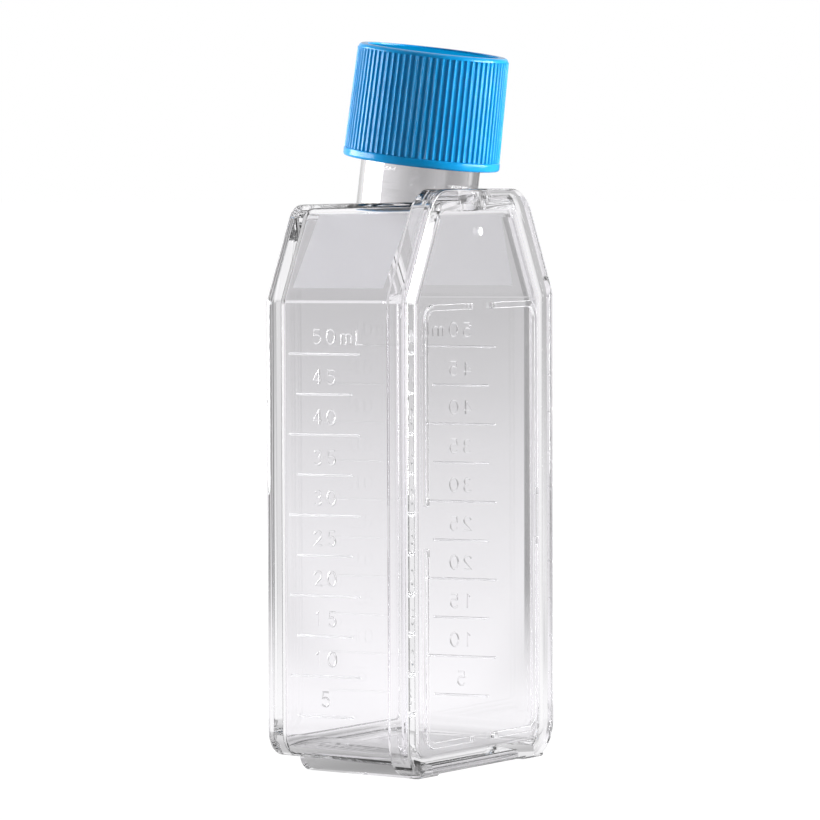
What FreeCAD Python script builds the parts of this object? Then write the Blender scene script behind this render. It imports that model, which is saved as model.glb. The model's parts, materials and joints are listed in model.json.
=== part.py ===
"""Cell culture flask of the 25 square centimetre size, standing on its end.

Millimetres.  X runs across the width, Z is up, and the neck leans towards -Y.
The growth face is the flat face at +Y, and the welded top plate is at -Y.
Shapes are first built with the plate's outer rim in the plane Y = 0 and are
moved at the end, so that the part's origin is the middle of its base.
"""
import FreeCAD, Part
import math
import os

os.makedirs("parts", exist_ok=True)
Vector = FreeCAD.Vector

# ---------------------------------------------------------------- driving dimensions
# Outline of the top plate, which is also the outline of the tub's flange.
flask_width = 46.4
straight_height = 70.0        # rim's lower edge up to the bend at the shoulder
shoulder_rise = 15.6          # bend at the shoulder up to the rim's upper edge
crown_width = 28.8            # straight upper edge, measured to the sharp corners
base_corner = 5.3             # outline radius at the two lower corners
shoulder_corner = 2.5         # outline radius at the two bends
crown_corner = 7.0            # outline radius at the two upper corners

# Thicknesses, front to back.
flask_depth = 25.25           # plate's rim to the growth face
plate_thickness = 1.45
flange_thickness = 1.85
wall = 1.35
floor_wall = 1.55             # the growth floor

# How far the tub's walls stand in from the flange's edge, and their draft.
side_step = 2.2
shoulder_step = 2.2
crown_step = 1.82
end_step = 1.25
wall_draft = 1.2              # degrees
end_draft = 2.4               # degrees, the end wall that the feet are on
tub_base_corner = 3.6
tub_shoulder_corner = 1.2
tub_crown_corner = 3.0
tub_back_round = 1.0          # edge all round the growth face
inner_back_round = 1.3        # the same edge inside
flange_root_round = 1.15      # where the walls meet the back of the flange
growth_rim = 2.4              # width of the low rim round the growth face
growth_recess = 0.5           # how far the growth face lies inside that rim
recess_round = 0.3            # inner corner where the rim drops to the growth face

# Feet on the end wall.
foot_stand = 0.25             # feet stand this far below the rim
foot_inset = 3.8              # flask's side to the foot, at the front
foot_width = 5.6
foot_toe_in = 13.0            # degrees
foot_back_gap = 2.0           # foot's back end to the growth face
foot_back_width = 3.6
foot_end_round = 2.1

# Top plate.
plate_recess = 0.3            # middle of the plate lies this far inside its rim
rim_band = 3.0                # width of that rim
rim_edge_round = 0.45
bead_inset = 5.9              # stacking bead's centre line, from the rim's edge
bead_lower_inset = 4.3        # the same, from the rim's lower edge
bead_upper_gap = 1.7          # bead's upper side lies this far below the bend
bead_width = 0.9
bead_height = 0.4
bead_corner = 2.3
bead_gap = 6.3                # break in the middle of each side of the bead
bead_pad_length = 1.2         # higher pad at each end of a stretch of bead
bead_pad_extra = 0.12
gate_radius = 0.65            # stub of the injection gate
gate_below_edge = 6.3
gate_height = 0.2
locating_rib = 1.0            # rib inside the plate that enters the tub's mouth
locating_depth = 0.8
weld_clearance = 0.15         # between that rib and the tub's walls

# Volume marks on both side walls.
mark_volume = 5000.0          # cubic millimetres between marks
mark_most = 10                # marks on each side, as far as the straight walls reach
mark_first_height = 8.4       # lowest mark, from the rim's lower edge
mark_back_gap = 4.15          # long marks' back ends to the growth face
mark_long = 12.0
mark_short = 9.4
mark_width = 0.34
mark_relief = 0.14
mark_shoulder_clear = 4.0     # no mark comes nearer to the bend than this

# Neck.
neck_lean = 7.6               # degrees
neck_radius = 8.88
neck_wall = 1.48
neck_plate_gap = 0.2          # neck to the plate's back, at the plate's upper edge
neck_bare = 5.7               # along the axis, crown up to the cap's lower edge
mouth_round = 0.35

# Thread.
thread_pitch = 3.2
thread_turns = 1.75
thread_height = 0.85
thread_root = 1.3
thread_crest = 0.7
thread_sink = 0.3             # how far a ridge is rooted in its wall
thread_clearance = 0.3        # radial, both at crest and at root
thread_below_mouth = 2.5      # mouth to the upper end of the neck's thread

# Cap.
cap_height = 16.85
cap_wall = 1.65               # at the band round its lower edge
cap_taper = 0.36              # loss of radius from the lower edge to the top
cap_band = 1.3                # height of the plain band
cap_band_stand = 0.05         # band stands this far outside the ribs
cap_edge_round = 0.6
cap_top_wall = 1.4
cap_top_recess = 0.25
cap_top_rim = 1.3
rib_count = 75
rib_height = 0.38
rib_share = 0.44              # part of each pitch that the rib takes
rib_crest_share = 0.16        # part of each pitch that is the rib's crest
rib_top_gap = 0.6             # ribs end this far below the top
liner_thickness = 1.0
liner_side_gap = 0.33         # liner's edge to the cap's bore
liner_compression = 0.05      # gap left between liner and mouth in the model
liner_catch = 0.25            # the bead that holds the liner reaches in this far
catch_height = 0.6
catch_clearance = 0.06        # axial, between liner and its bead

# ---------------------------------------------------------------- worked out
half_width = flask_width / 2
rim_low = foot_stand
bend_height = rim_low + straight_height
rim_high = bend_height + shoulder_rise
flange_back = plate_thickness + flange_thickness
crown_height = rim_high - crown_step
foot_length = flask_depth - foot_back_gap
mark_centre = flask_depth - mark_back_gap - mark_long / 2
lean_slope = math.tan(math.radians(neck_lean))
neck_half_depth = neck_radius / math.cos(math.radians(neck_lean))
neck_setback = plate_thickness + neck_plate_gap + neck_half_depth + crown_step * lean_slope
neck_length = neck_bare + cap_height - cap_top_wall - liner_thickness - liner_compression
cap_bore = neck_radius + thread_height + thread_clearance
cap_radius = cap_bore + cap_wall
liner_radius = cap_bore - liner_side_gap

RIM_CORNERS = (base_corner, base_corner, shoulder_corner, crown_corner, crown_corner, shoulder_corner)
TUB_CORNERS = (tub_base_corner, tub_base_corner, tub_shoulder_corner,
               tub_crown_corner, tub_crown_corner, tub_shoulder_corner)
EPS = 1e-4


# ---------------------------------------------------------------- outline and prisms
def outline(insets):
    """Six corners (x, z) of the rim's outline with each side moved inwards.

    The sides are end, right side, right shoulder, crown, left shoulder, left side.
    """
    corners = [(-half_width, rim_low), (half_width, rim_low), (half_width, bend_height),
               (crown_width / 2, rim_high), (-crown_width / 2, rim_high), (-half_width, bend_height)]
    lines = []
    for (x1, z1), (x2, z2), inset in zip(corners, corners[1:] + corners[:1], insets):
        length = math.hypot(x2 - x1, z2 - z1)
        dx, dz = (x2 - x1) / length, (z2 - z1) / length
        lines.append((x1 - dz * inset, z1 + dx * inset, dx, dz))
    moved = []
    for before, after in zip(lines[-1:] + lines[:-1], lines):
        cross = before[2] * after[3] - before[3] * after[2]
        along = ((after[0] - before[0]) * after[3] - (after[1] - before[1]) * after[2]) / cross
        moved.append((before[0] + before[2] * along, before[1] + before[3] * along))
    return moved


def even(inset):
    """The same inset on all six sides."""
    return [inset] * 6


def tub_insets(depth, extra=0.0):
    """Insets of the tub's outer walls at a depth behind the plate's rim."""
    behind = depth - flange_back
    drafted = behind * math.tan(math.radians(wall_draft)) + extra
    end = end_step + behind * math.tan(math.radians(end_draft)) + extra
    side = side_step + drafted
    shoulder = shoulder_step + drafted
    return [end, side, shoulder, crown_step + drafted, shoulder, side]


def block(front, back, front_insets, back_insets, radii):
    """Solid between two outlines, with its six lengthwise edges rounded."""
    near = [Vector(x, front, z) for x, z in outline(front_insets)]
    far = [Vector(x, back, z) for x, z in outline(back_insets)]
    faces = [Part.Face(Part.makePolygon(near + near[:1])), Part.Face(Part.makePolygon(far + far[:1]))]
    for i in range(6):
        j = (i + 1) % 6
        faces.append(Part.Face(Part.makePolygon([near[i], near[j], far[j], far[i], near[i]])))
    solid = Part.makeSolid(Part.makeShell(faces))
    if solid.Volume < 0:
        solid.reverse()
    for radius in sorted(set(radii)):
        edges = []
        for start, end, own in zip(near, far, radii):
            if own == radius:
                edges.append(edge_between(solid, start, end))
        solid = solid.makeFillet(radius, edges)
    return solid


def edge_between(solid, start, end):
    """The straight edge that joins two points."""
    for edge in solid.Edges:
        ends = [vertex.Point for vertex in edge.Vertexes]
        if len(ends) != 2:
            continue
        for a, b in (ends, ends[::-1]):
            if a.distanceToPoint(start) < EPS and b.distanceToPoint(end) < EPS:
                return edge
    raise ValueError("no edge between the two points")


def edges_in_plane(solid, depth):
    """All edges that lie in the plane Y = depth."""
    found = []
    for edge in solid.Edges:
        box = edge.BoundBox
        if abs(box.YMin - depth) < EPS and abs(box.YMax - depth) < EPS:
            found.append(edge)
    return found


def on_neck(shape):
    """Move a shape drawn about +Z, with the crown at Z = 0, onto the neck's axis."""
    moved = shape.copy()
    turn = FreeCAD.Rotation(Vector(1, 0, 0), neck_lean)
    moved.Placement = FreeCAD.Placement(Vector(0, neck_setback, crown_height), turn).multiply(moved.Placement)
    return moved


# ---------------------------------------------------------------- thread
def thread_ridge(wall_radius, outwards, start):
    """Helical ridge on a wall: right-handed, trapezoid section, cut square at its ends."""
    side = 1 if outwards else -1
    root = wall_radius - side * thread_sink
    crest = wall_radius + side * thread_height
    profile = Part.makePolygon([
        Vector(root, 0, -thread_root / 2), Vector(crest, 0, -thread_crest / 2),
        Vector(crest, 0, thread_crest / 2), Vector(root, 0, thread_root / 2),
        Vector(root, 0, -thread_root / 2)])
    spine = Part.Wire(Part.makeHelix(thread_pitch, thread_pitch * thread_turns, root).Edges)
    ridge = spine.makePipeShell([profile], True, True)
    ridge.translate(Vector(0, 0, start))
    return ridge


# ---------------------------------------------------------------- tub with neck
def neck_tube():
    """Neck from below the crown to the mouth, with its outer thread."""
    rooted = 2 * wall
    tube = Part.makeCylinder(neck_radius, neck_length + rooted, Vector(0, 0, -rooted))
    top_edges = [edge for edge in tube.Edges if abs(edge.BoundBox.ZMin - neck_length) < EPS]
    tube = tube.makeFillet(mouth_round, top_edges)
    return tube.fuse(thread_ridge(neck_radius, True, neck_thread_start))


def foot(side):
    """One foot: a rib on the end wall that toes in towards the growth face."""
    outer_front = half_width - foot_inset
    inner_front = outer_front - foot_width
    run = foot_length - plate_thickness
    outer_back = outer_front - foot_length * math.tan(math.radians(foot_toe_in))
    start = plate_thickness
    outer_start = outer_front - start * math.tan(math.radians(foot_toe_in))
    top = rim_low + tub_insets(foot_length)[0] + wall / 2
    plan = [Vector(side * inner_front, start, 0), Vector(side * outer_start, start, 0),
            Vector(side * outer_back, start + run, 0),
            Vector(side * (outer_back - foot_back_width), start + run, 0)]
    solid = Part.Face(Part.makePolygon(plan + plan[:1])).extrude(Vector(0, 0, top))
    back_edge = edge_between(solid, plan[2], plan[3])
    return solid.makeFillet(foot_end_round, [back_edge])


def volume_mark(side, height, length):
    """One raised line on a side wall, square to the wall's draft."""
    stand = half_width - tub_insets(mark_centre)[1]
    bar = Part.makeBox(mark_relief + wall / 2, length, mark_width,
                       Vector(-wall / 2, -length / 2, -mark_width / 2))
    bar.rotate(Vector(0, 0, 0), Vector(0, 0, 1), wall_draft)
    if side < 0:
        bar = bar.mirror(Vector(0, 0, 0), Vector(1, 0, 0))
    bar.translate(Vector(side * stand, mark_centre, height))
    return bar


def volume_marks():
    """Lines for every five millilitres; every second one is long."""
    bars = []
    for number in range(1, mark_count + 1):
        height = rim_low + mark_first_height + (number - 1) * mark_pitch
        length = mark_long if number % 2 == 0 else mark_short
        for side in (-1, 1):
            bars.append(volume_mark(side, height, length))
    return bars


def flask_body():
    """Tub, flange, feet, neck and marks, moulded as one piece of clear polystyrene."""
    start = plate_thickness
    tub = block(start, flask_depth, tub_insets(start), tub_insets(flask_depth), TUB_CORNERS)
    tub = tub.makeFillet(tub_back_round, edges_in_plane(tub, flask_depth))
    flange = block(start, flange_back, even(0), even(0), RIM_CORNERS)
    shell = tub.fuse(flange).removeSplitter()
    root = [edge for edge in edges_in_plane(shell, flange_back) if not on_rim_edge(edge)]
    shell = shell.makeFillet(flange_root_round, root)
    shell = shell.fuse([on_neck(neck_tube()), foot(-1), foot(1)] + volume_marks())

    inside_back = flask_depth - growth_recess - floor_wall
    inner_corners = [max(radius - wall, 0.6) for radius in TUB_CORNERS]
    mouth = start - wall
    cavity = block(mouth, inside_back, tub_insets(mouth, wall), tub_insets(inside_back, wall), inner_corners)
    cavity = cavity.makeFillet(inner_back_round, edges_in_plane(cavity, inside_back))
    shell = shell.cut(cavity)
    bore_radius = neck_radius - neck_wall
    bore = Part.makeCylinder(bore_radius, neck_length + 4 * wall, Vector(0, 0, -3 * wall))
    shell = shell.cut(on_neck(bore))
    recess_insets = tub_insets(flask_depth, growth_rim)
    recess_corners = [max(radius - growth_rim, 0.5) for radius in TUB_CORNERS]
    growth_face = flask_depth - growth_recess
    recess = block(growth_face, flask_depth + wall, recess_insets, recess_insets, recess_corners)
    recess = recess.makeFillet(recess_round, edges_in_plane(recess, growth_face))
    return shell.cut(recess).removeSplitter()


def on_rim_edge(edge):
    """True for an edge of the flange's own outline."""
    middle = edge.valueAt((edge.FirstParameter + edge.LastParameter) / 2)
    corners = outline(even(0))
    nearest = min(distance_to_line(middle.x, middle.z, *a, *b)
                  for a, b in zip(corners, corners[1:] + corners[:1]))
    return nearest < min(end_step, side_step, crown_step) / 2 or is_rim_arc(edge)


def is_rim_arc(edge):
    """True for a rounded corner of the flange's outline."""
    radius = getattr(edge.Curve, "Radius", None)
    return radius is not None and any(abs(radius - corner) < EPS for corner in RIM_CORNERS)


def distance_to_line(x, z, x1, z1, x2, z2):
    """Distance of a point from the line through two others."""
    return abs((x2 - x1) * (z - z1) - (z2 - z1) * (x - x1)) / math.hypot(x2 - x1, z2 - z1)


# ---------------------------------------------------------------- top plate
def rounded_frame(x_reach, low, high, corner, depth, thickness):
    """Rectangular block with rounded corners, from depth to depth + thickness in Y."""
    solid = Part.makeBox(2 * x_reach, thickness, high - low, Vector(-x_reach, depth, low))
    upright = [edge for edge in solid.Edges if abs(edge.BoundBox.YLength - thickness) < EPS]
    return solid.makeFillet(corner, upright)


def stacking_bead():
    """Raised rectangle in four stretches, with a higher pad at each end of a stretch."""
    face = plate_recess
    x_line = half_width - bead_inset
    low = rim_low + bead_lower_inset
    high = bend_height - bead_upper_gap
    half = bead_width / 2
    root = plate_thickness / 2

    def ring(height):
        thickness = height + root - face
        outer = rounded_frame(x_line + half, low - half, high + half, bead_corner + half,
                              face - height, thickness)
        inner = rounded_frame(x_line - half, low + half, high - half, bead_corner - half,
                              face - height - 1, thickness + 2)
        return outer.cut(inner)

    def breaks(gap):
        middle = (low + high) / 2
        upright = Part.makeBox(gap, 4, high - low + 4, Vector(-gap / 2, -2, low - 2))
        across = Part.makeBox(flask_width, 4, gap, Vector(-half_width, -2, middle - gap / 2))
        return [upright, across]

    bead = ring(bead_height).cut(breaks(bead_gap))
    pads = ring(bead_height + bead_pad_extra)
    pads = pads.common(Part.makeCompound(breaks(bead_gap + 2 * bead_pad_length))).cut(breaks(bead_gap))
    return bead.Solids + pads.Solids


def top_plate():
    """Flat cover welded to the tub's flange, with rim, stacking bead and locating rib."""
    plate = block(0, plate_thickness, even(0), even(0), RIM_CORNERS)
    plate = plate.makeFillet(rim_edge_round, edges_in_plane(plate, 0))
    inner_corners = [max(radius - rim_band, 0.8) for radius in RIM_CORNERS]
    recess = block(-1, plate_recess, even(rim_band), even(rim_band), inner_corners)
    plate = plate.cut(recess)

    lip_corners = [max(radius - wall, 0.6) for radius in TUB_CORNERS]
    outer = tub_insets(plate_thickness + locating_depth, wall + weld_clearance)
    inner = [inset + locating_rib for inset in outer]
    back = plate_thickness + locating_depth
    lip = block(plate_thickness / 2, back, outer, outer, lip_corners)
    lip = lip.cut(block(plate_thickness / 2 - 1, back + 1, inner, inner, [0.5] * 6))
    hollow = block(plate_thickness / 2 - 1, plate_thickness, inner, inner, [0.5] * 6)
    lip = lip.cut(hollow)

    gate = Part.makeCylinder(gate_radius, gate_height + plate_thickness / 2,
                             Vector(0, plate_recess - gate_height, rim_high - gate_below_edge), Vector(0, 1, 0))
    return plate.fuse(stacking_bead() + [lip, gate] + plate_pads()).removeSplitter()


def plate_pads():
    """The feet carried forward over the plate's lower edge."""
    pads = []
    for side in (-1, 1):
        outer = half_width - foot_inset
        low_x = outer - foot_width if side > 0 else -outer
        pads.append(Part.makeBox(foot_width, plate_thickness, base_corner / 2, Vector(low_x, 0, 0)))
    trimmed = []
    for pad in pads:
        front = [edge for edge in pad.Edges if abs(edge.BoundBox.YMax) < EPS and edge.BoundBox.XLength > 1]
        trimmed.append(pad.makeFillet(rim_edge_round, front))
    return trimmed


# ---------------------------------------------------------------- cap and liner
def ribbed_wire(radius, height):
    """Closed outline of the ribbed wall: valleys on a smaller circle, flat-topped ribs."""
    valley = radius - rib_height
    pitch = 2 * math.pi / rib_count
    points = []
    for number in range(rib_count):
        centre = number * pitch
        points.append((centre - rib_share * pitch / 2, valley))
        points.append((centre - rib_crest_share * pitch / 2, radius))
        points.append((centre + rib_crest_share * pitch / 2, radius))
        points.append((centre + rib_share * pitch / 2, valley))
    corners = [Vector(r * math.cos(a), r * math.sin(a), height) for a, r in points]
    return Part.makePolygon(corners + corners[:1])


def cap_shell():
    """Screw cap: ribbed wall, plain band, rounded top with a shallow recess, inner thread."""
    rib_top = cap_height - rib_top_gap
    slope = cap_taper / cap_height
    low_radius = cap_radius - cap_band_stand - slope * cap_band
    high_radius = cap_radius - cap_band_stand - slope * rib_top
    ribs = Part.makeLoft([ribbed_wire(low_radius, cap_band), ribbed_wire(high_radius, rib_top)], True, True)

    band = Part.makeCylinder(cap_radius, cap_band)
    band = band.makeFillet(cap_band / 3, [edge for edge in band.Edges if len(edge.Vertexes) == 1])
    under = cap_height - cap_top_wall
    crown = Part.makeCylinder(high_radius - rib_height / 3, cap_height - under, Vector(0, 0, under))
    upper = [edge for edge in crown.Edges if abs(edge.BoundBox.ZMin - cap_height) < EPS]
    crown = crown.makeFillet(cap_edge_round, upper)
    shell = ribs.fuse([band, crown])
    shell = shell.cut(Part.makeCylinder(cap_bore, under + 1, Vector(0, 0, -1)))
    top_disc = high_radius - rib_height / 3 - cap_top_rim
    shell = shell.cut(Part.makeCylinder(top_disc, 1, Vector(0, 0, cap_height - cap_top_recess)))

    liner_bottom = under - liner_thickness
    catch_top = liner_bottom - catch_clearance
    catch = Part.makeCylinder(cap_bore + wall / 4, catch_height, Vector(0, 0, catch_top - catch_height))
    catch = catch.cut(Part.makeCylinder(liner_radius - liner_catch, catch_height + 2,
                                        Vector(0, 0, catch_top - catch_height - 1)))
    ridge = thread_ridge(cap_bore, False, cap_thread_start)
    return shell.fuse([catch, ridge]).removeSplitter()


def seal_liner():
    """Soft disc that the cap presses onto the mouth."""
    return Part.makeCylinder(liner_radius, liner_thickness,
                             Vector(0, 0, cap_height - cap_top_wall - liner_thickness))


# ---------------------------------------------------------------- assembly
thread_rise = thread_pitch * thread_turns
neck_thread_start = neck_length - thread_below_mouth - thread_root / 2 - thread_rise
# In the closed cap the two ridges lie half a pitch apart, the cap's below the neck's.
cap_thread_start = neck_thread_start - thread_pitch / 2 - neck_bare

middle_depth = (plate_thickness + flask_depth - growth_recess - floor_wall) / 2
inner_width = flask_width - 2 * (tub_insets(middle_depth)[1] + wall)
inner_depth = flask_depth - growth_recess - floor_wall - plate_thickness
mark_pitch = mark_volume / (inner_width * inner_depth)
mark_room = straight_height - mark_shoulder_clear - mark_first_height
mark_count = min(mark_most, 1 + int(mark_room / mark_pitch))

cap_up = Vector(0, 0, neck_bare)


def raised(shape):
    """Cap parts are drawn from the cap's lower edge, so they go up the bare neck first."""
    lifted = shape.copy()
    lifted.translate(cap_up)
    return on_neck(lifted)


nodes = {
    "flask_body": flask_body(),
    "top_plate": top_plate(),
    "seal_liner": raised(seal_liner()),
    "cap_shell": raised(cap_shell()),
}

boxes = [shape.optimalBoundingBox(False, False) for shape in nodes.values()]
front = min(box.YMin for box in boxes)
back = max(box.YMax for box in boxes)
to_origin = Vector(0, -(front + back) / 2, 0)
for name, shape in nodes.items():
    shape.translate(to_origin)
    shape.exportStep(f"parts/{name}.step")
    print(name, "solids", len(shape.Solids), "valid", shape.isValid(), "volume", round(shape.Volume, 1))

axis = FreeCAD.Rotation(Vector(1, 0, 0), neck_lean).multVec(Vector(0, 0, 1))
seat = Vector(0, neck_setback, crown_height) + to_origin
print("moved in Y by", round(to_origin.y, 4))
print("neck axis", [round(v, 6) for v in axis], "through", [round(v, 4) for v in seat])
print("mark pitch", round(mark_pitch, 3), "marks", mark_count)
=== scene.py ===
"""Cell culture flask: a clear moulded body, a welded clear plate and a blue screw cap."""
import json
import math

import bmesh
import bpy
from mathutils import Matrix, Vector


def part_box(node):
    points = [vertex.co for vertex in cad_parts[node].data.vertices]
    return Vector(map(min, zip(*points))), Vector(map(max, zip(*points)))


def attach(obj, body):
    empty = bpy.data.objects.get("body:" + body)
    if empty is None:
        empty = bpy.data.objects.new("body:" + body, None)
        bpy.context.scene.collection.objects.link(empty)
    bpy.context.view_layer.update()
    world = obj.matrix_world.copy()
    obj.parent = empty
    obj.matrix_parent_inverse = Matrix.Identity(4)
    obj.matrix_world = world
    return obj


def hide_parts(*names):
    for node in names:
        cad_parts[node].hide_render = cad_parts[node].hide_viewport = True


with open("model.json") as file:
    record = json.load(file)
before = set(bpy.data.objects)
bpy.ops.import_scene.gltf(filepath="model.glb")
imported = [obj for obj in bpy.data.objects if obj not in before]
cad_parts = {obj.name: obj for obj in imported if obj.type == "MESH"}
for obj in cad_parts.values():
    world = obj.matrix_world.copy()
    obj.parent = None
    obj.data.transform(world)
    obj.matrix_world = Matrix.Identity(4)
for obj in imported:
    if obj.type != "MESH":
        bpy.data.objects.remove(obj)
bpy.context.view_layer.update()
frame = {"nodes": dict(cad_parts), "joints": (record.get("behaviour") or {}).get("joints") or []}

mm = 0.001

# ---------------------------------------------------------------------------
# Flask body.  Tub, flange, feet, threaded neck and volume marks are one shot
# of clear polystyrene from a polished mould.  The numerals stand proud beside
# the marks, and a textured panel for writing on is moulded on each shoulder.


def object_from(mesh, name):
    """A new object in the scene that shows the mesh."""
    made = bpy.data.objects.new(name, mesh)
    bpy.context.scene.collection.objects.link(made)
    return made


def copy_of_node(node, name):
    """A new object with the node's shape, its seams between patches closed."""
    mesh = frame["nodes"][node].data.copy()
    mesh.name = name
    mesh.materials.clear()
    shape = bmesh.new()
    shape.from_mesh(mesh)
    bmesh.ops.remove_doubles(shape, verts=shape.verts, dist=1e-7)
    shape.to_mesh(mesh)
    shape.free()
    if mesh.has_custom_normals:
        mesh.attributes.remove(mesh.attributes["custom_normal"])
    return object_from(mesh, name)


def joined_flats(obj, angle=0.02):
    """Merge coplanar facets, so that flat walls keep one true direction."""
    shape = bmesh.new()
    shape.from_mesh(obj.data)
    bmesh.ops.dissolve_limit(
        shape, angle_limit=math.radians(angle), verts=shape.verts, edges=shape.edges,
        use_dissolve_boundaries=False,
    )
    shape.to_mesh(obj.data)
    shape.free()


def moulded_shading(obj, sharp=32.0):
    """Rounds shade smoothly, flats stay flat and moulded corners stay crisp."""
    obj.data.polygons.foreach_set("use_smooth", [True] * len(obj.data.polygons))
    obj.data.set_sharp_from_angle(angle=math.radians(sharp))
    weighted = obj.modifiers.new("true flats", "WEIGHTED_NORMAL")
    weighted.keep_sharp = True
    weighted.weight = 100
    weighted.mode = "FACE_AREA"


def rounded_edges(obj, wanted, radius, slot=0):
    """Round the outward edges of the flat tops that are wanted."""
    shape = bmesh.new()
    shape.from_mesh(obj.data)
    tops = {f for f in shape.faces if wanted(f)}
    edges = {
        e for f in tops for e in f.edges
        if len(e.link_faces) == 2 and not tops.issuperset(e.link_faces)
        and e.calc_face_angle_signed(0.0) > math.radians(40)
    }
    rounds = bmesh.ops.bevel(
        shape, geom=list(edges), offset=radius, offset_type="OFFSET", segments=4, profile=0.5,
        affect="EDGES", clamp_overlap=True,
    )
    for face in rounds["faces"]:
        face.material_index = slot
    shape.to_mesh(obj.data)
    shape.free()


def clear_plastic(name, roughness_low, roughness_high, grain, grain_depth):
    """Clear polystyrene: uneven polish from the mould, and lamps shine through it."""
    material = bpy.data.materials.new(name)
    material.use_nodes = True
    nodes, links = material.node_tree.nodes, material.node_tree.links
    nodes.clear()
    place = nodes.new("ShaderNodeTexCoord")
    polish = nodes.new("ShaderNodeTexNoise")
    polish.inputs["Scale"].default_value = grain
    polish.inputs["Detail"].default_value = 3.0
    links.new(place.outputs["Object"], polish.inputs["Vector"])
    spread = nodes.new("ShaderNodeMapRange")
    spread.inputs["To Min"].default_value = roughness_low
    spread.inputs["To Max"].default_value = roughness_high
    links.new(polish.outputs["Fac"], spread.inputs["Value"])
    bump = nodes.new("ShaderNodeBump")
    bump.inputs["Strength"].default_value = 1.0
    bump.inputs["Distance"].default_value = grain_depth
    links.new(polish.outputs["Fac"], bump.inputs["Height"])
    plastic = nodes.new("ShaderNodeBsdfPrincipled")
    plastic.inputs["Base Color"].default_value = (0.985, 0.977, 0.993, 1.0)
    plastic.inputs["Transmission Weight"].default_value = 1.0
    plastic.inputs["IOR"].default_value = 1.59
    links.new(spread.outputs["Result"], plastic.inputs["Roughness"])
    links.new(bump.outputs["Normal"], plastic.inputs["Normal"])
    through = nodes.new("ShaderNodeBsdfTransparent")
    through.inputs["Color"].default_value = (0.93, 0.935, 0.94, 1.0)
    path = nodes.new("ShaderNodeLightPath")
    choose = nodes.new("ShaderNodeMixShader")
    links.new(path.outputs["Is Shadow Ray"], choose.inputs["Fac"])
    links.new(plastic.outputs["BSDF"], choose.inputs[1])
    links.new(through.outputs["BSDF"], choose.inputs[2])
    out = nodes.new("ShaderNodeOutputMaterial")
    links.new(choose.outputs["Shader"], out.inputs["Surface"])
    return material


def arc(centre_x, centre_y, radius_x, radius_y, start, end, count):
    """Points along part of an ellipse, angles in degrees."""
    points = []
    for i in range(count + 1):
        angle = math.radians(start + (end - start) * i / count)
        points.append((centre_x + radius_x * math.cos(angle), centre_y + radius_y * math.sin(angle)))
    return points


NUMERAL_STROKE = 0.15         # mm, stroke radius
NUMERAL_SUNK = 0.03           # stroke's centre line lies this far inside the wall
NUMERAL_PITCH = 2.32
NUMERAL_ABOVE_MARK = 1.5
UNIT_PLACES = [("m", 3.79), ("L", 6.02)]    # beside the topmost number, from its middle
# Each character's strokes in mm, from the middle of its foot: whether the
# stroke closes on itself, and its points.
STROKES = {
    "0": [(True, arc(0.0, 1.05, 0.68, 1.05, 0, 360, 28)[:-1])],
    "1": [(False, [(-0.32, 1.72), (0.12, 2.1), (0.12, 0.0)])],
    "2": [(False, arc(0.0, 1.5, 0.6, 0.6, 165, -35, 12) + [(-0.62, 0.0), (0.66, 0.0)])],
    "3": [(False, arc(-0.02, 1.57, 0.54, 0.5, 150, -95, 14)),
          (False, arc(-0.04, 0.55, 0.62, 0.56, 95, -150, 14))],
    "4": [(False, [(0.66, 0.62), (-0.68, 0.62), (0.3, 2.1)]), (False, [(0.3, 2.1), (0.3, 0.0)])],
    "5": [(False, [(0.56, 2.1), (-0.44, 2.1), (-0.54, 1.2)] + arc(-0.02, 0.66, 0.62, 0.66, 118, -150, 14))],
    "m": [(False, [(-0.85, 0.0), (-0.85, 1.5)]),
          (False, [(-0.85, 1.1)] + arc(-0.43, 1.08, 0.42, 0.42, 180, 0, 10) + [(-0.01, 0.0)]),
          (False, [(-0.01, 1.1)] + arc(0.42, 1.08, 0.43, 0.42, 180, 0, 10) + [(0.85, 0.0)])],
    "L": [(False, [(-0.5, 2.1), (-0.5, 0.0), (0.6, 0.0)])],
}


def stroke_mesh(closed, points):
    """A round bar along a flat path, in millimetres."""
    curve = bpy.data.curves.new("stroke", "CURVE")
    curve.dimensions = "3D"
    curve.bevel_depth = NUMERAL_STROKE
    curve.bevel_resolution = 2
    curve.use_fill_caps = True
    spline = curve.splines.new("POLY")
    spline.points.add(len(points) - 1)
    for point, (x, y) in zip(spline.points, points):
        point.co = (x, y, -NUMERAL_SUNK, 1.0)
    spline.use_cyclic_u = closed
    holder = bpy.data.objects.new("stroke", curve)
    bpy.context.scene.collection.objects.link(holder)
    mesh = bpy.data.meshes.new_from_object(holder)
    bpy.data.objects.remove(holder)
    shape = bmesh.new()
    shape.from_mesh(mesh)
    bmesh.ops.remove_doubles(shape, verts=shape.verts, dist=1e-5)
    bmesh.ops.recalc_face_normals(shape, faces=shape.faces)
    shape.to_mesh(mesh)
    shape.free()
    return mesh


def boolean(target, other, operation, solver):
    """Apply one boolean to target and delete the other object."""
    modifier = target.modifiers.new("cut", "BOOLEAN")
    modifier.object = other
    modifier.operation = operation
    modifier.solver = solver
    graph = bpy.context.evaluated_depsgraph_get()
    result = bpy.data.meshes.new_from_object(target.evaluated_get(graph))
    target.modifiers.remove(modifier)
    target.data = result
    bpy.data.objects.remove(other)


def glyph_mesh(character):
    """One numeral or letter as a closed solid, its strokes joined."""
    first, *rest = [stroke_mesh(closed, points) for closed, points in STROKES[character]]
    glyph = object_from(first, "glyph")
    for mesh in rest:
        boolean(glyph, object_from(mesh, "stroke"), "UNION", "MANIFOLD")
    mesh = glyph.data
    bpy.data.objects.remove(glyph)
    return mesh


body = copy_of_node("flask_body", "clear_flask_body")
body_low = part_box("flask_body")[0]

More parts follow.
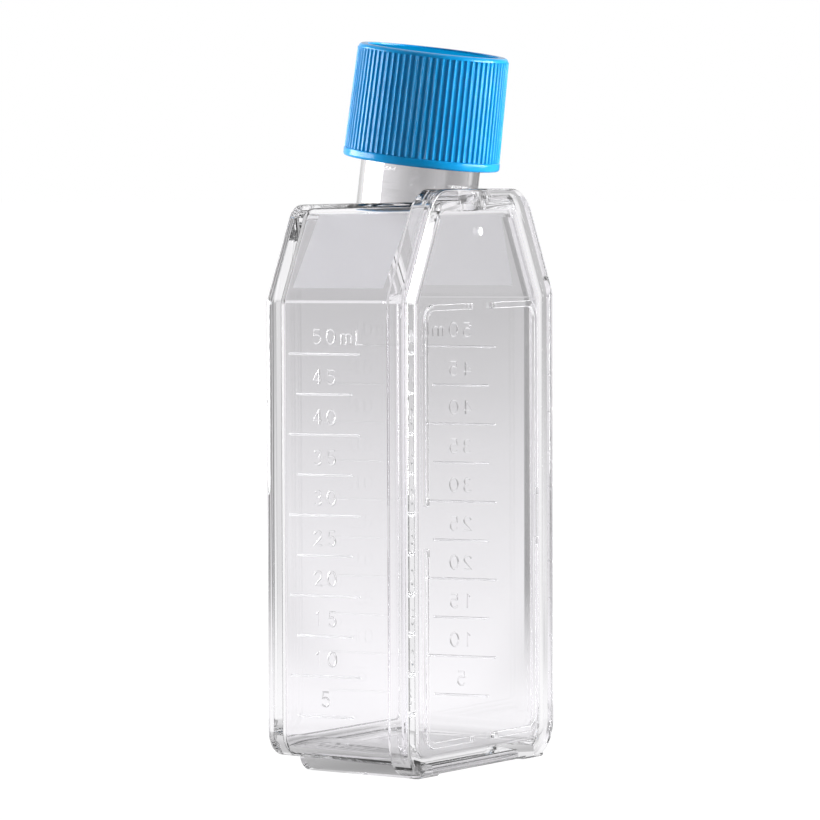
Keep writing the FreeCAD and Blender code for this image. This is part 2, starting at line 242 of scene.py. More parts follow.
MARK_COUNT = 10
MARK_STEP = 5                 # mL
MARK_FIRST = 8.65             # mm above the bench
MARK_PITCH = 5.906
MARK_BEHIND_BEAD = 15.32      # from the flask's front to the middle of the marks
MARK_RELIEF = 0.14
MARK_RELIEF_SLACK = 0.04
MARK_ROUND = 0.13
MARK_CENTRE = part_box("top_plate")[0].y / mm + MARK_BEHIND_BEAD
WALL_DRAFT = math.radians(1.2)

# The wall is felt for between two marks, from outside the flask.
bpy.context.view_layer.update()
feeler = Vector((body_low.x * 2, MARK_CENTRE * mm, (MARK_FIRST + 0.5 * MARK_PITCH) * mm))
side_wall = -body.ray_cast(feeler, Vector((1, 0, 0)))[1].x

glyphs = {character: glyph_mesh(character) for character in STROKES}
lettering = bmesh.new()
for side in (-1, 1):
    outward = Vector((side * math.cos(WALL_DRAFT), math.sin(WALL_DRAFT), 0))
    reading = Vector((0, 0, 1)).cross(outward)
    for number in range(1, MARK_COUNT + 1):
        text = str(MARK_STEP * number)
        places = [(c, (i - (len(text) - 1) / 2) * NUMERAL_PITCH) for i, c in enumerate(text)]
        if number == MARK_COUNT:
            places += UNIT_PLACES
        low = (MARK_FIRST + (number - 1) * MARK_PITCH + NUMERAL_ABOVE_MARK) * mm
        for character, beside in places:
            centre = Vector((side * side_wall, MARK_CENTRE * mm, low)) + reading * beside * mm
            turn = Matrix((reading, Vector((0, 0, 1)), outward)).transposed().to_4x4()
            placed = glyphs[character].copy()
            placed.transform(Matrix.Translation(centre) @ turn @ Matrix.Scale(mm, 4))
            lettering.from_mesh(placed)
            bpy.data.meshes.remove(placed)
lettering_mesh = bpy.data.meshes.new("lettering")
lettering.to_mesh(lettering_mesh)
lettering.free()
boolean(body, object_from(lettering_mesh, "lettering"), "UNION", "MANIFOLD")
joined_flats(body)


def is_mark_top(face):
    """The marks' tops stand proud of the side walls by the marks' relief."""
    middle = face.calc_center_median()
    wall_here = side_wall + (MARK_CENTRE * mm - middle.y) * math.tan(WALL_DRAFT)
    proud = abs(middle.x) - wall_here
    lies_flat = abs(face.normal.x) > 0.99 and abs(face.normal.z) < 1e-3
    at_relief = abs(proud - MARK_RELIEF * mm) < MARK_RELIEF_SLACK * mm
    return lies_flat and at_relief and face.calc_area() > 1e-6


PANEL_SLOT = 1
SCUFFED_SLOT = 2
body.data.materials.clear()
body.data.materials.append(clear_plastic("clear_polystyrene", 0.0, 0.01, 90.0, 3e-7))

frosted = clear_plastic("writing_panel", 0.34, 0.46, 2600.0, 8.0e-6)
frosted_plastic = frosted.node_tree.nodes["Principled BSDF"]
frosted_plastic.inputs["Specular IOR Level"].default_value = 0.2
frosted_plastic.inputs["Base Color"].default_value = (0.66, 0.655, 0.69, 1.0)
body.data.materials.append(frosted)

# Racks and stacking scuff every edge that stands proud of the walls.
scuffed = clear_plastic("scuffed_edge", 0.40, 0.60, 1800.0, 1.0e-5)
scuffed.node_tree.nodes["Principled BSDF"].inputs["Transmission Weight"].default_value = 0.62
body.data.materials.append(scuffed)

# The marks are low ridges with a round top, cut with a ball mill in the mould.
rounded_edges(body, is_mark_top, MARK_ROUND * mm, SCUFFED_SLOT)

# The writing panel on each shoulder's outer face is a rectangle that leans
# back a little, as the shoulder does.
PANEL_FRONT = 5.1             # mm behind the plate's rim, at half height
PANEL_BACK = 20.4
PANEL_LOW = 71.45             # mm above the bench
PANEL_HIGH = 82.3
PANEL_LEAN = math.radians(6.2)
BEAD_STAND = 0.22             # the plate's bead stands this far before its rim
plate_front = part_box("top_plate")[0].y + BEAD_STAND * mm
panel_middle = (PANEL_LOW + PANEL_HIGH) / 2 * mm
across_panel = Vector((0, math.cos(PANEL_LEAN), math.sin(PANEL_LEAN)))
front_point = Vector((0, plate_front + PANEL_FRONT * mm, panel_middle))
back_point = Vector((0, plate_front + PANEL_BACK * mm, panel_middle))
panel = bmesh.new()
panel.from_mesh(body.data)
for side in (-1, 1):
    # Only the shoulder's own large face is cut.
    faces = [
        f for f in panel.faces
        if f.normal.z > 0.2 and f.normal.x * side > 0.5 and f.calc_area() > 1e-5
    ]
    cuts = [
        (front_point, across_panel), (back_point, across_panel),
        (Vector((0, 0, PANEL_LOW * mm)), Vector((0, 0, 1))),
        (Vector((0, 0, PANEL_HIGH * mm)), Vector((0, 0, 1))),
    ]
    for point, normal in cuts:
        found = bmesh.ops.bisect_plane(
            panel, geom=list({g for f in faces for g in (f, *f.edges, *f.verts)}), dist=1e-8,
            plane_co=point, plane_no=normal,
        )
        faces = [g for g in found["geom"] if isinstance(g, bmesh.types.BMFace)]
    for f in faces:
        middle = f.calc_center_median()
        inside = (middle - front_point).dot(across_panel) > 0 > (middle - back_point).dot(across_panel)
        if inside and PANEL_LOW * mm < middle.z < PANEL_HIGH * mm:
            f.material_index = PANEL_SLOT
panel.to_mesh(body.data)
panel.free()

moulded_shading(body)
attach(body, "flask")
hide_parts("flask_body")

# ---------------------------------------------------------------------------
# Top plate.  A flat clear polystyrene moulding, welded to the flange all
# round.  Where the weld took, light passes as through one piece; a few
# stretches kept a hair of air, and there the seam shows.
WELD_GAP = 0.02               # mm, all sizes of the plate
BEAD_ROUND = 0.22             # on the bead and on its end pads
BEAD_TOPS_WITHIN = 0.15       # their tops lie within this of the plate's front
GATE_BELOW_EDGE = 6.3         # from the plate's upper edge to the gate's middle
GATE_REACH = 0.7
GATE_BEFORE_WELD = 0.5
PLATE_WELD_SLOT = 1
BODY_WELD_SLOT = 3


def weld_seam():
    """Joined plastic with patches of trapped air."""
    material = bpy.data.materials.new("weld_seam")
    material.use_nodes = True
    nodes, links = material.node_tree.nodes, material.node_tree.links
    nodes.clear()
    place = nodes.new("ShaderNodeTexCoord")
    patches = nodes.new("ShaderNodeTexNoise")
    patches.inputs["Scale"].default_value = 30.0
    patches.inputs["Detail"].default_value = 2.0
    links.new(place.outputs["Object"], patches.inputs["Vector"])
    air = nodes.new("ShaderNodeMapRange")
    air.inputs["From Min"].default_value = 0.80
    air.inputs["From Max"].default_value = 0.90
    links.new(patches.outputs["Fac"], air.inputs["Value"])
    joined = nodes.new("ShaderNodeBsdfTransparent")
    gap = nodes.new("ShaderNodeBsdfGlass")
    gap.inputs["IOR"].default_value = 1.59
    gap.inputs["Roughness"].default_value = 0.12
    choose = nodes.new("ShaderNodeMixShader")
    links.new(air.outputs["Result"], choose.inputs["Fac"])
    links.new(joined.outputs["BSDF"], choose.inputs[1])
    links.new(gap.outputs["BSDF"], choose.inputs[2])
    out = nodes.new("ShaderNodeOutputMaterial")
    links.new(choose.outputs["Shader"], out.inputs["Surface"])
    return material


def mark_seam(obj, depth, slot):
    """Give the welded ring, which reaches the flask's widest edge, its own material."""
    shape = bmesh.new()
    shape.from_mesh(obj.data)
    edge = min(v.co.x for v in shape.verts)

    def in_seam(face):
        """Whether the face lies in the plane of the weld."""
        return all(abs(v.co.y - depth) < 1e-6 for v in face.verts)

    ring = [f for f in shape.faces if in_seam(f) and min(v.co.x for v in f.verts) < edge + 1e-6]
    found = set(ring)
    while ring:
        for side in ring.pop().edges:
            for near in side.link_faces:
                if near not in found and in_seam(near):
                    found.add(near)
                    ring.append(near)
    for face in found:
        face.material_index = slot
    shape.to_mesh(obj.data)
    shape.free()


plate = copy_of_node("top_plate", "clear_top_plate")
plate_back = min(v.co.y for v in body.data.vertices if v.co.x < body_low.x + 1e-6)
plate.data.materials.append(clear_plastic("clear_polystyrene_plate", 0.0, 0.01, 90.0, 3e-7))
plate.data.materials.append(weld_seam())
mark_seam(plate, plate_back, PLATE_WELD_SLOT)
mark_seam(body, plate_back, BODY_WELD_SLOT)
body.data.materials.append(plate.data.materials[PLATE_WELD_SLOT])
for vertex in plate.data.vertices:
    if abs(vertex.co.y - plate_back) < 1e-6:
        vertex.co.y -= WELD_GAP * mm
joined_flats(plate)
plate_low, plate_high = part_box("top_plate")


def is_bead_top(face):
    """The bead's top and its pads' tops stand proud of the plate's rim."""
    furthest_back = plate_low.y + BEAD_TOPS_WITHIN * mm
    return face.normal.y < -0.99 and face.calc_center_median().y < furthest_back


# The bead's edges are scuffed too, and the gate's stub is torn off rough.
plate.data.materials.append(scuffed)
rounded_edges(plate, is_bead_top, BEAD_ROUND * mm, SCUFFED_SLOT)
gate_height = plate_high.z - GATE_BELOW_EDGE * mm
for face in plate.data.polygons:
    off_gate = max(abs(face.center.x), abs(face.center.z - gate_height))
    at_front = face.center.y < plate_back - GATE_BEFORE_WELD * mm
    if off_gate < GATE_REACH * mm and at_front and face.area < 1.5e-6:
        face.material_index = SCUFFED_SLOT
moulded_shading(plate)
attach(plate, "flask")
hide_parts("top_plate")

# ---------------------------------------------------------------------------
# Sealing disc.  A soft closed-cell foam liner, punched from sheet and pushed
# into the cap, where a small bead inside the wall holds it.


def closed_cell_foam():
    """Off-white foam with fine closed cells."""
    material = bpy.data.materials.new("liner_foam")
    material.use_nodes = True
    nodes, links = material.node_tree.nodes, material.node_tree.links
    surface = nodes["Principled BSDF"]
    place = nodes.new("ShaderNodeTexCoord")
    cells = nodes.new("ShaderNodeTexVoronoi")
    cells.inputs["Scale"].default_value = 3500.0
    links.new(place.outputs["Object"], cells.inputs["Vector"])
    colour = nodes.new("ShaderNodeValToRGB")
    colour.color_ramp.elements[0].color = (0.80, 0.80, 0.76, 1)
    colour.color_ramp.elements[1].color = (0.90, 0.90, 0.87, 1)
    links.new(cells.outputs["Distance"], colour.inputs["Fac"])
    links.new(colour.outputs["Color"], surface.inputs["Base Color"])
    bump = nodes.new("ShaderNodeBump")
    bump.inputs["Distance"].default_value = 4e-5
    links.new(cells.outputs["Distance"], bump.inputs["Height"])
    links.new(bump.outputs["Normal"], surface.inputs["Normal"])
    surface.inputs["Roughness"].default_value = 0.85
    return material


liner = frame["nodes"]["seal_liner"]
liner.data.materials.clear()
liner.data.materials.append(closed_cell_foam())

# ---------------------------------------------------------------------------
# Screw cap.  Moulded in one piece from blue polypropylene: a ribbed wall over
# a plain band, a rounded top edge, and a thread and a bead for the disc inside.
CAP_HEIGHT = 16.85            # mm, all sizes of the cap
CAP_RADIUS = 11.68            # at the band
CAP_TAPER = 0.36              # loss of radius from the lower edge to the top
CAP_BORE = 10.03
CAP_TOP_WALL = 1.4
CAP_UP_NECK = 5.7             # lower edge to the neck's foot
NECK_LEAN = math.radians(7.6)
BAND_HEIGHT = 1.3
BAND_STAND = 0.05             # the band stands this far outside the ribs
BAND_LOWER_ROUND = 0.4
BAND_UPPER_ROUND = 0.25
RIB_COUNT = 75
RIB_DEPTH = 0.25
RIB_SHARE = 0.74              # of a rib's pitch, from one foot of the rib to the other
RIB_TOP = 16.25
RIB_END_ROUND = 0.35
RIB_END_RING = 0.127          # the plain ring over the ribs lies this far inside their crests
POINTS_PER_RIB = 16
TOP_RING = 0.12               # the top's edge starts this far inside the ribs' crests
TOP_ROUND = 0.6
TOP_SINK = [(1.2, 0.0), (1.3, 0.03), (1.36, 0.22), (1.46, 0.25)]    # rim's width, depth below it
CATCH_RADIUS = 9.45           # the bead that holds the sealing disc
DISC_THICKNESS = 1.0
DISC_PLAY = 0.06
DISC_SQUEEZE_LEFT = 0.05      # from the disc to the neck's mouth
THREAD_PITCH = 3.2
THREAD_TURNS = 1.75
THREAD_HEIGHT = 0.85
THREAD_ROOT = 0.3             # the ridge reaches this far into the wall
THREAD_FOOT_HALF = 0.65
THREAD_CREST_HALF = 0.35
THREAD_BELOW_MOUTH = 2.5

cap_axis = Vector((0, -math.sin(NECK_LEAN), math.cos(NECK_LEAN)))
turn_joint = next(j for j in frame["joints"] if j["name"] == "cap_turn")
neck_seat = Vector(turn_joint["pos_m"])
to_neck = (
    Matrix.Translation(neck_seat + cap_axis * CAP_UP_NECK * mm)
    @ Matrix.Rotation(NECK_LEAN, 4, "X") @ Matrix.Scale(mm, 4)
)


def lofted(rings, name):
    """A closed solid through rings of points, each joined to the next."""
    shape = bmesh.new()
    loops = [[shape.verts.new(point) for point in ring] for ring in rings]
    for lower, upper in zip(loops, loops[1:]):
        for i in range(len(lower)):
            j = (i + 1) % len(lower)
            shape.faces.new((lower[i], lower[j], upper[j], upper[i]))
    shape.faces.new(loops[-1])
    shape.faces.new(reversed(loops[0]))
    bmesh.ops.recalc_face_normals(shape, faces=shape.faces)
    mesh = bpy.data.meshes.new(name)
    shape.to_mesh(mesh)
    shape.free()
    return object_from(mesh, name)


def around(radius, angle, height):
    """A point at a radius from the cap's axis."""
    return (radius * math.cos(angle), radius * math.sin(angle), height)


def rib_section(share):
    """Height of the ribbed surface over one pitch: a low rounded crest."""
    from_crest = abs((share + 0.5) % 1.0 - 0.5) * 2
    return 0.5 + 0.5 * math.cos(math.pi * min(1.0, from_crest / RIB_SHARE))


def ribbed_radius(height, share):
    """The ribbed wall, whose valleys run out in a round below the plain ring."""
    crest = CAP_RADIUS - BAND_STAND - CAP_TAPER * height / CAP_HEIGHT
    valley = crest - RIB_DEPTH
    ring = crest - RIB_END_RING
    up = max(0.0, (height - (RIB_TOP - RIB_END_ROUND)) / RIB_END_ROUND)
    fade = 1 - math.sqrt(max(0.0, 1 - up * up))
    floor_radius = valley + (ring - valley) * min(1.0, fade)
    return floor_radius + rib_section(share) * (crest - floor_radius)


def round_edge(radius, height, size, start, end, count):
    """Points round an edge that touches the given radius and height."""
    return arc(radius - size, height, size, size, start, end, count)


def cap_outside():
    """The cap as a full solid: band, ribbed wall, round top edge and sunk top."""
    outline = round_edge(CAP_RADIUS, BAND_LOWER_ROUND, BAND_LOWER_ROUND, -90, 0, 5)
    outline += round_edge(CAP_RADIUS, BAND_HEIGHT - BAND_UPPER_ROUND, BAND_UPPER_ROUND, 0, 90, 5)
    outline += [("ribs", height) for height in (BAND_HEIGHT + 0.02, 4.0, 7.0, 10.0, 13.0)]
    rib_end = arc(0.0, RIB_TOP - RIB_END_ROUND, RIB_END_ROUND, RIB_END_ROUND, 0, 90, 8)
    outline += [("ribs", height) for _, height in rib_end]
    edge = CAP_RADIUS - BAND_STAND - CAP_TAPER - TOP_RING
    outline += round_edge(edge, CAP_HEIGHT - TOP_ROUND, TOP_ROUND, 0, 90, 6)
    outline += [(edge - inside, CAP_HEIGHT - depth) for inside, depth in TOP_SINK]
    columns = RIB_COUNT * POINTS_PER_RIB
    rings = []
    for radius, height in outline:
        ring = []
        for column in range(columns):
            share = (column % POINTS_PER_RIB) / POINTS_PER_RIB
            reach = ribbed_radius(height, share) if radius == "ribs" else radius
            ring.append(around(reach, 2 * math.pi * column / columns, height))
        rings.append(ring)
    return lofted(rings, "blue_screw_cap")


def cap_hollow(columns=192):
    """The cap's inside, with the bead that holds the disc left standing."""
    under = CAP_HEIGHT - CAP_TOP_WALL
    catch_top = under - DISC_THICKNESS - DISC_PLAY
    outline = [
        (CAP_BORE, -1.0), (CAP_BORE, catch_top - 0.6), (CATCH_RADIUS, catch_top - 0.45),
        (CATCH_RADIUS, catch_top - 0.15), (CAP_BORE, catch_top), (CAP_BORE, under),
    ]
    rings = [
        [around(radius, 2 * math.pi * i / columns, height) for i in range(columns)]
        for radius, height in outline
    ]
    return lofted(rings, "hollow")


def cap_thread(steps_per_turn=96):
    """One right-handed ridge inside the wall, meshing with the neck's thread."""
    mouth = CAP_UP_NECK + CAP_HEIGHT - CAP_TOP_WALL - DISC_THICKNESS - DISC_SQUEEZE_LEFT
    neck_start = mouth - THREAD_BELOW_MOUTH - THREAD_FOOT_HALF - THREAD_PITCH * THREAD_TURNS
    start = neck_start - THREAD_PITCH / 2 - CAP_UP_NECK
    root, crest = CAP_BORE + THREAD_ROOT, CAP_BORE - THREAD_HEIGHT
    section = [
        (root, -THREAD_FOOT_HALF), (crest, -THREAD_CREST_HALF),
        (crest, THREAD_CREST_HALF), (root, THREAD_FOOT_HALF),
    ]
    steps = int(THREAD_TURNS * steps_per_turn)
    rings = []
    for i in range(steps + 1):
        turns = THREAD_TURNS * i / steps
        rings.append([
            around(radius, 2 * math.pi * turns, start + THREAD_PITCH * turns + height)
            for radius, height in section
        ])
    return lofted(rings, "thread")


def blue_polypropylene():
    """Opaque pigmented plastic, its blue a little uneven where the melt flowed."""
    material = bpy.data.materials.new("blue_polypropylene")
    material.use_nodes = True
    nodes, links = material.node_tree.nodes, material.node_tree.links
    surface = nodes["Principled BSDF"]
    place = nodes.new("ShaderNodeTexCoord")
    flow = nodes.new("ShaderNodeTexNoise")
    flow.inputs["Scale"].default_value = 260.0
    flow.inputs["Detail"].default_value = 4.0
    links.new(place.outputs["Object"], flow.inputs["Vector"])
    pigment = nodes.new("ShaderNodeValToRGB")
    pigment.color_ramp.elements[0].position = 0.3
    pigment.color_ramp.elements[0].color = (0.001, 0.25, 0.57, 1)
    pigment.color_ramp.elements[1].position = 0.7
    pigment.color_ramp.elements[1].color = (0.002, 0.285, 0.63, 1)
    links.new(flow.outputs["Fac"], pigment.inputs["Fac"])
    links.new(pigment.outputs["Color"], surface.inputs["Base Color"])
    skin = nodes.new("ShaderNodeTexNoise")
    skin.inputs["Scale"].default_value = 4200.0
    links.new(place.outputs["Object"], skin.inputs["Vector"])
    bump = nodes.new("ShaderNodeBump")
    bump.inputs["Distance"].default_value = 6e-6
    links.new(skin.outputs["Fac"], bump.inputs["Height"])
    links.new(bump.outputs["Normal"], surface.inputs["Normal"])
    polish = nodes.new("ShaderNodeMapRange")
    polish.name = "polish"
    polish.inputs["To Min"].default_value = 0.14
    polish.inputs["To Max"].default_value = 0.22
    links.new(flow.outputs["Fac"], polish.inputs["Value"])
    links.new(polish.outputs["Result"], surface.inputs["Roughness"])
    surface.inputs["IOR"].default_value = 1.49
    surface.inputs["Specular IOR Level"].default_value = 0.2
    return material


def left_matt(glossy):
    """The same plastic where the mould's face is grained."""
    material = glossy.copy()
    material.name = "blue_polypropylene_matt"
    nodes = material.node_tree.nodes
    nodes["polish"].inputs["To Min"].default_value = 0.55
    nodes["polish"].inputs["To Max"].default_value = 0.75
    nodes["Principled BSDF"].inputs["Specular IOR Level"].default_value = 0.0
    return material


cap = cap_outside()
boolean(cap, cap_hollow(), "DIFFERENCE", "MANIFOLD")
boolean(cap, cap_thread(), "UNION", "MANIFOLD")
cap.data.transform(to_neck)

blue = blue_polypropylene()
cap.data.materials.clear()
cap.data.materials.append(blue)
cap.data.materials.append(left_matt(blue))
for face in cap.data.polygons:
    sunk_top = face.normal.dot(cap_axis) > 0.99 and face.area > 2e-5
    face.material_index = 1 if sunk_top else 0
moulded_shading(cap, 40.0)
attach(cap, "cap")
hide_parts("cap_shell")

# ---------------------------------------------------------------------------
# Bench and studio.  A white bench runs back to a grey wall.  Seen through clear plastic, the bench has a
# painted shadow under and around the flask and a painted pool of light round that, fading to grey with
# distance.  Clear plastic shows
#  the room at its edges: a white screen on the left, a grey one on the right,
#  and the darker side of the room in front.
CAMERA_AZIMUTH = math.radians(28.538)      # direction of view, from +X towards +Y
CAMERA_PITCH = math.radians(2.327)         # downwards
CAMERA_ROLL = -0.0038                      # radians
CAMERA_PLACE = Vector((-0.787686, -0.427241, 0.089344))
CAMERA_LENS = 264.4                        # mm, on a 36 mm sensor

view = Vector((math.cos(CAMERA_AZIMUTH) * math.cos(CAMERA_PITCH),
               math.sin(CAMERA_AZIMUTH) * math.cos(CAMERA_PITCH), -math.sin(CAMERA_PITCH)))
level = Vector((math.sin(CAMERA_AZIMUTH), -math.cos(CAMERA_AZIMUTH), 0))
flat_view = Vector((view.x, view.y, 0)).normalized()
upward = level.cross(view)
right = level * math.cos(CAMERA_ROLL) + upward * math.sin(CAMERA_ROLL)
upward = upward * math.cos(CAMERA_ROLL) - level * math.sin(CAMERA_ROLL)


def computed(nodes, links, operation, *values):
    """Arithmetic on values, each a number or a socket."""
    node = nodes.new("ShaderNodeMath")
    node.operation = operation
    for socket, value in zip(node.inputs, values):
        if isinstance(value, (int, float)):
            socket.default_value = value
        else:
            links.new(value, socket)
    return node.outputs[0]


def ray_is(nodes, links, names):
    """One when the ray is any of the named kinds."""
    path = nodes.new("ShaderNodeLightPath")
    total = path.outputs[names[0]]
    for name in names[1:]:
        total = computed(nodes, links, "MAXIMUM", total, path.outputs[name])
    return total


def along(nodes, links, vector, direction):
    """How far a vector reaches in a fixed direction."""
    node = nodes.new("ShaderNodeVectorMath")
    node.operation = "DOT_PRODUCT"
    node.inputs[1].default_value = direction
    links.new(vector, node.inputs[0])
    return node.outputs["Value"]


def eased(nodes, links, value, low, high):
    """Nothing up to low, one from high on, smooth between."""
    node = nodes.new("ShaderNodeMapRange")
    node.interpolation_type = "SMOOTHSTEP"
    node.inputs["From Min"].default_value = low
    node.inputs["From Max"].default_value = high
    links.new(value, node.inputs["Value"])
    return node.outputs["Result"]


def graded(nodes, links, value, stops):
    """Grey level along a value that runs from 0 to 1."""
    node = nodes.new("ShaderNodeValToRGB")
    ramp = node.color_ramp
    ramp.elements[0].position, ramp.elements[1].position = stops[0][0], stops[-1][0]
    for position, grey in stops[1:-1]:
        ramp.elements.new(position)
    for element, (position, grey) in zip(ramp.elements, stops):
        element.color = (grey, grey, grey, 1)
    links.new(value, node.inputs["Fac"])
    return node.outputs["Color"]


def blended(nodes, links, share, first, second):
    """A mix of two grey levels, each a number or a socket."""
    node = nodes.new("ShaderNodeMix")
    links.new(share, node.inputs["Factor"])
    for name, value in (("A", first), ("B", second)):
        if isinstance(value, (int, float)):
            node.inputs[name].default_value = value
        else:
            links.new(value, node.inputs[name])
    return node.outputs["Result"]


def room(nodes, links, ahead, side):
    """The room at eye level: grey by how far to the side, behind and in front."""
    across = computed(nodes, links, "MULTIPLY_ADD", side, 0.5, 0.5)
    behind = graded(nodes, links, across, [
        (0.0, 0.97), (0.30, 0.95), (0.40, 0.86), (0.46, 0.55), (0.5, 0.46), (0.53, 0.46),
        (0.56, 0.24), (0.65, 0.24), (0.80, 0.30), (0.87, 0.70), (0.93, 0.76), (0.97, 1.0),
    ])
    front = graded(nodes, links, across, [
        (0.0, 0.97), (0.06, 1.0), (0.15, 0.95), (0.27, 0.5), (0.36, 0.18), (0.5, 0.14),
        (0.65, 0.20), (0.75, 0.22), (0.84, 0.26), (0.90, 0.55), (0.97, 1.0),
    ])
    return blended(nodes, links, eased(nodes, links, ahead, -0.12, 0.12), front, behind)


def by_ray(nodes, links, kind, usual, special):
    """Show one shader to some kinds of ray and another to the rest."""
    node = nodes.new("ShaderNodeMixShader")
    links.new(ray_is(nodes, links, kind), node.inputs["Fac"])
    links.new(usual, node.inputs[1])
    links.new(special, node.inputs[2])
    return node.outputs["Shader"]


def bench_finish():
    """White to the eye with the flask's shadow; through clear plastic, a painted shadow under the flask and
    a painted pool of light round it that greys with distance.
    """
    material = bpy.data.materials.new("bench")
    material.use_nodes = True
    nodes, links = material.node_tree.nodes, material.node_tree.links
    nodes.clear()
    place = nodes.new("ShaderNodeNewGeometry").outputs["Position"]
    length = nodes.new("ShaderNodeVectorMath")
    length.operation = "LENGTH"
    links.new(place, length.inputs[0])
    distance = length.outputs["Value"]
    shrunk = computed(nodes, links, "DIVIDE", distance, computed(nodes, links, "ADD", distance, 1.0))
    # Painted light, seen only through clear plastic: dark under and around the flask as a painted shadow,
    # then a painted pool of light that fades to grey with distance.
    painted_shadow_and_light_pool = graded(nodes, links, shrunk, [
        (0.0, 0.26), (0.016, 0.42), (0.026, 0.74), (0.040, 0.94), (0.062, 0.98), (0.107, 1.0),
        (0.237, 0.945), (0.329, 0.885), (0.5, 0.735), (0.597, 0.615), (0.727, 0.51), (1.0, 0.455),
    ])
    ahead = computed(nodes, links, "DIVIDE", along(nodes, links, place, flat_view), distance)
    side = computed(nodes, links, "DIVIDE", along(nodes, links, place, level), distance)
    off_middle = eased(nodes, links, computed(nodes, links, "ABSOLUTE", side), 0.05, 0.12)
    in_front = eased(nodes, links, computed(nodes, links, "MULTIPLY", ahead, -1.0), 0.0, 0.1)
    aside = computed(nodes, links, "MAXIMUM", off_middle, in_front)
    far_aside = computed(nodes, links, "MULTIPLY", aside, eased(nodes, links, distance, 0.05, 0.45))
    seen_in_clear = nodes.new("ShaderNodeEmission")
    grey = blended(nodes, links, far_aside, painted_shadow_and_light_pool, room(nodes, links, ahead, side))
    links.new(grey, seen_in_clear.inputs["Color"])
    white = nodes.new("ShaderNodeEmission")
    strength = blended(nodes, links, eased(nodes, links, distance, 0.1, 0.3), 0.95, 1.0)
    links.new(strength, white.inputs["Strength"])
    lit = nodes.new("ShaderNodeBsdfDiffuse")
    lit.inputs["Color"].default_value = (0.09, 0.09, 0.09, 1)
    direct = nodes.new("ShaderNodeAddShader")
    links.new(white.outputs["Emission"], direct.inputs[0])
    links.new(lit.outputs["BSDF"], direct.inputs[1])
    plain = nodes.new("ShaderNodeBsdfDiffuse")
    plain.inputs["Color"].default_value = (0.5, 0.5, 0.5, 1)
    shown = by_ray(nodes, links, ["Is Camera Ray"], plain.outputs["BSDF"], direct.outputs["Shader"])
    shown = by_ray(nodes, links, CLEAR_RAYS, shown, seen_in_clear.outputs["Emission"])
    out = nodes.new("ShaderNodeOutputMaterial")
    links.new(shown, out.inputs["Surface"])
    return material


def studio_world():
    """White to the eye, a soft bluish fill for the surfaces, and the room in clear plastic."""
    world = bpy.data.worlds.new("studio")
    world.use_nodes = True
    nodes, links = world.node_tree.nodes, world.node_tree.links
    nodes.clear()
    towards = nodes.new("ShaderNodeTexCoord").outputs["Generated"]
    ahead = along(nodes, links, towards, flat_view)
    side = along(nodes, links, towards, level)
    height = along(nodes, links, towards, (0, 0, 1))
    behind = eased(nodes, links, ahead, -0.12, 0.12)
    lower_walls = room(nodes, links, ahead, side)
    wide = computed(nodes, links, "MULTIPLY", side, side)
    upper_behind = blended(nodes, links, eased(nodes, links, wide, 0.05, 0.25), 0.95, 0.58)
    upper_walls = blended(nodes, links, behind, 0.36, upper_behind)
    walls = blended(nodes, links, eased(nodes, links, height, 0.02, 0.26), lower_walls, upper_walls)
    ceiling = blended(nodes, links, eased(nodes, links, height, 0.60, 0.82), walls, 1.0)
    seen = nodes.new("ShaderNodeBackground")
    links.new(ceiling, seen.inputs["Color"])
    fill = nodes.new("ShaderNodeBackground")
    fill.inputs["Color"].default_value = (0.78, 0.84, 1, 1)
    links.new(computed(nodes, links, "MULTIPLY_ADD", wide, 0.3, 0.04), fill.inputs["Strength"])
    backdrop = nodes.new("ShaderNodeBackground")
    backdrop.inputs["Color"].default_value = (1, 1, 1, 1)
    white = backdrop.outputs["Background"]
    shown = by_ray(nodes, links, ["Is Camera Ray"], fill.outputs["Background"], white)
    shown = by_ray(nodes, links, CLEAR_RAYS, shown, seen.outputs["Background"])
    out = nodes.new("ShaderNodeOutputWorld")
    links.new(shown, out.inputs["Surface"])
    return world


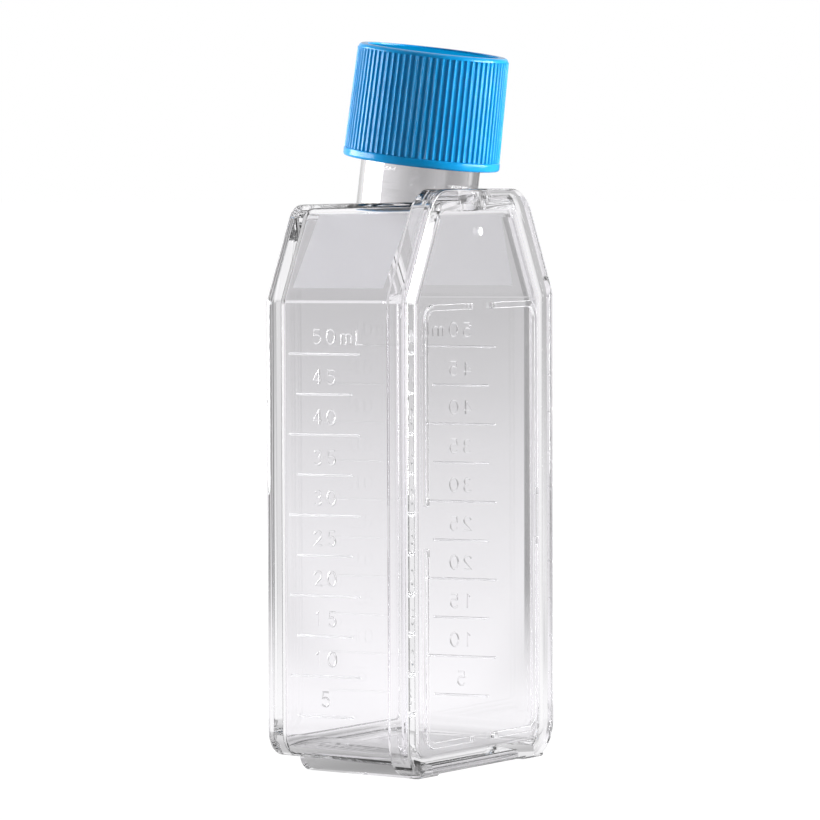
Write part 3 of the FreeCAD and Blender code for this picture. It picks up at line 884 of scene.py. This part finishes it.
BENCH_REACH = 12.0            # m, half the bench's side
BENCH_DROP = 0.00002          # m, keeps the feet's undersides clear of it
CLEAR_RAYS = ["Is Glossy Ray", "Is Transmission Ray"]
corners = [(-1, -1), (1, -1), (1, 1), (-1, 1)]
bench_mesh = bpy.data.meshes.new("bench")
bench_mesh.from_pydata([(x * BENCH_REACH, y * BENCH_REACH, 0) for x, y in corners], [], [(0, 1, 2, 3)])
bench_mesh.materials.append(bench_finish())
bench = object_from(bench_mesh, "bench")
bench.location.z = -BENCH_DROP
bpy.context.scene.world = studio_world()

FLASK_MIDDLE = Vector((0, 0, 0.05))


def soft_lamp(name, place, width, height, strength):
    """A soft box that faces the flask's middle."""
    lamp = bpy.data.lights.new(name, "AREA")
    lamp.shape = "RECTANGLE"
    lamp.size, lamp.size_y = width, height
    lamp.energy = strength
    holder = bpy.data.objects.new(name, lamp)
    bpy.context.scene.collection.objects.link(holder)
    holder.location = place
    holder.rotation_mode = "QUATERNION"
    holder.rotation_quaternion = (FLASK_MIDDLE - Vector(place)).to_track_quat("-Z", "Y")
    holder.visible_camera = False
    holder.visible_transmission = False


up = Vector((0, 0, 1))
soft_lamp("left_lamp", FLASK_MIDDLE - level * 0.75 + flat_view * 0.16, 0.8, 0.7, 24.0)
soft_lamp("right_lamp", FLASK_MIDDLE + level * 0.75 - flat_view * 0.04 + up * 0.02, 0.6, 0.7, 27.0)
soft_lamp("top_lamp", FLASK_MIDDLE + up * 0.9 + flat_view * 0.2, 0.6, 0.6, 1.5)

camera_data = bpy.data.cameras.new("camera")
camera_data.lens = CAMERA_LENS
camera_data.sensor_width = 36.0
camera_data.clip_start, camera_data.clip_end = 0.01, 100.0
camera = bpy.data.objects.new("camera", camera_data)
bpy.context.scene.collection.objects.link(camera)
turn = Matrix((right, upward, -view)).transposed().to_4x4()
camera.matrix_world = Matrix.Translation(CAMERA_PLACE) @ turn
bpy.context.scene.camera = camera

# Light passes many clear walls, one behind the other.
scene = bpy.context.scene
scene.view_settings.view_transform = "Standard"
scene.cycles.max_bounces = 32
scene.cycles.transmission_bounces = 32
scene.cycles.glossy_bounces = 16
scene.cycles.transparent_max_bounces = 32
scene.cycles.caustics_reflective = False
scene.cycles.caustics_refractive = False
